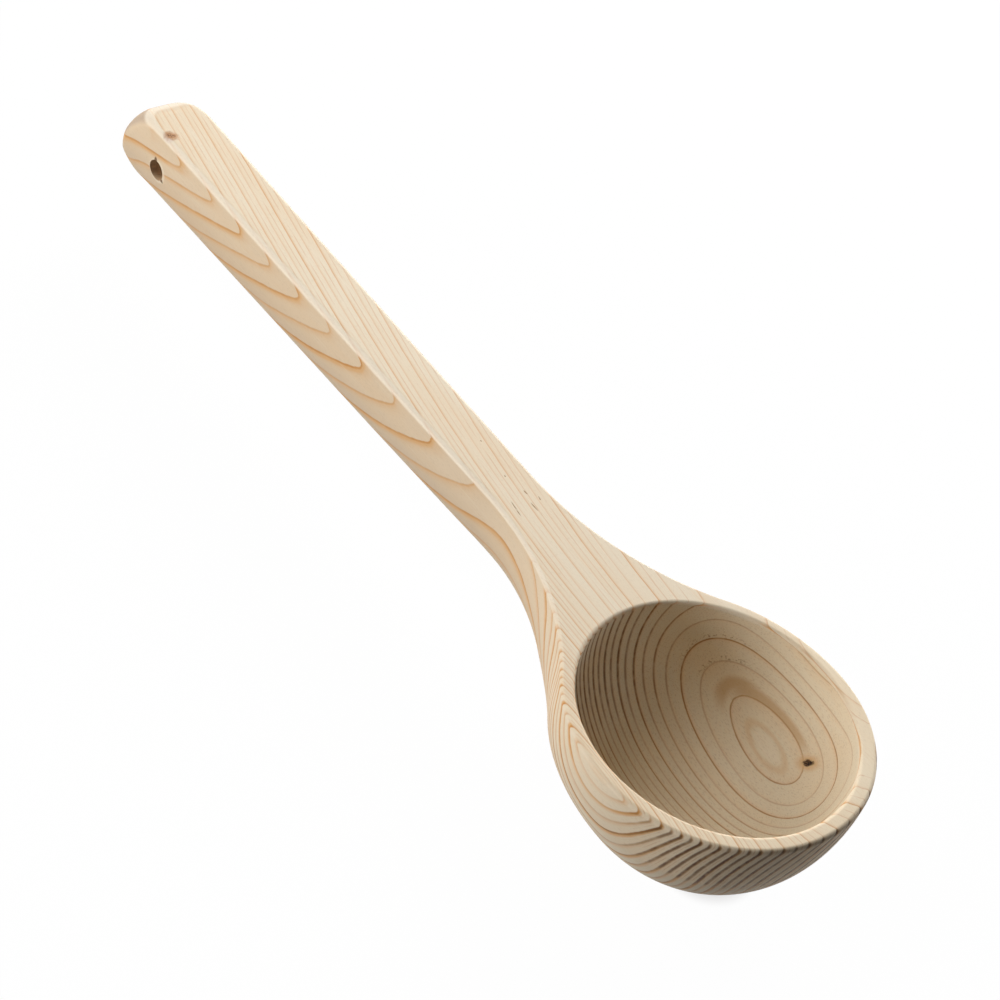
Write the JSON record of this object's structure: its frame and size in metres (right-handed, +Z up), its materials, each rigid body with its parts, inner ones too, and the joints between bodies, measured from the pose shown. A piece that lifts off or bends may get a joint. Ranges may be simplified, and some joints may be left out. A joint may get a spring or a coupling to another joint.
{
  "type": "sauna ladle",
  "caption": "Carved wooden sauna ladle: a round bowl, a flared neck and a straight, flat-topped handle with a hanging hole across its rounded end.",
  "frame": {"origin": "on the flat foot under the bowl, below the centre of the round hollow", "axes": "+X from the bowl to the handle's end, +Z up out of the bowl, +Y to the left when looking along +X"},
  "size_m": [0.38, 0.1062, 0.0525],
  "materials": {
    "wood": "sanded, untreated pale softwood"
  },
  "bodies": {
    "root": {"ladle": "wood"}
  },
  "joints": []
}
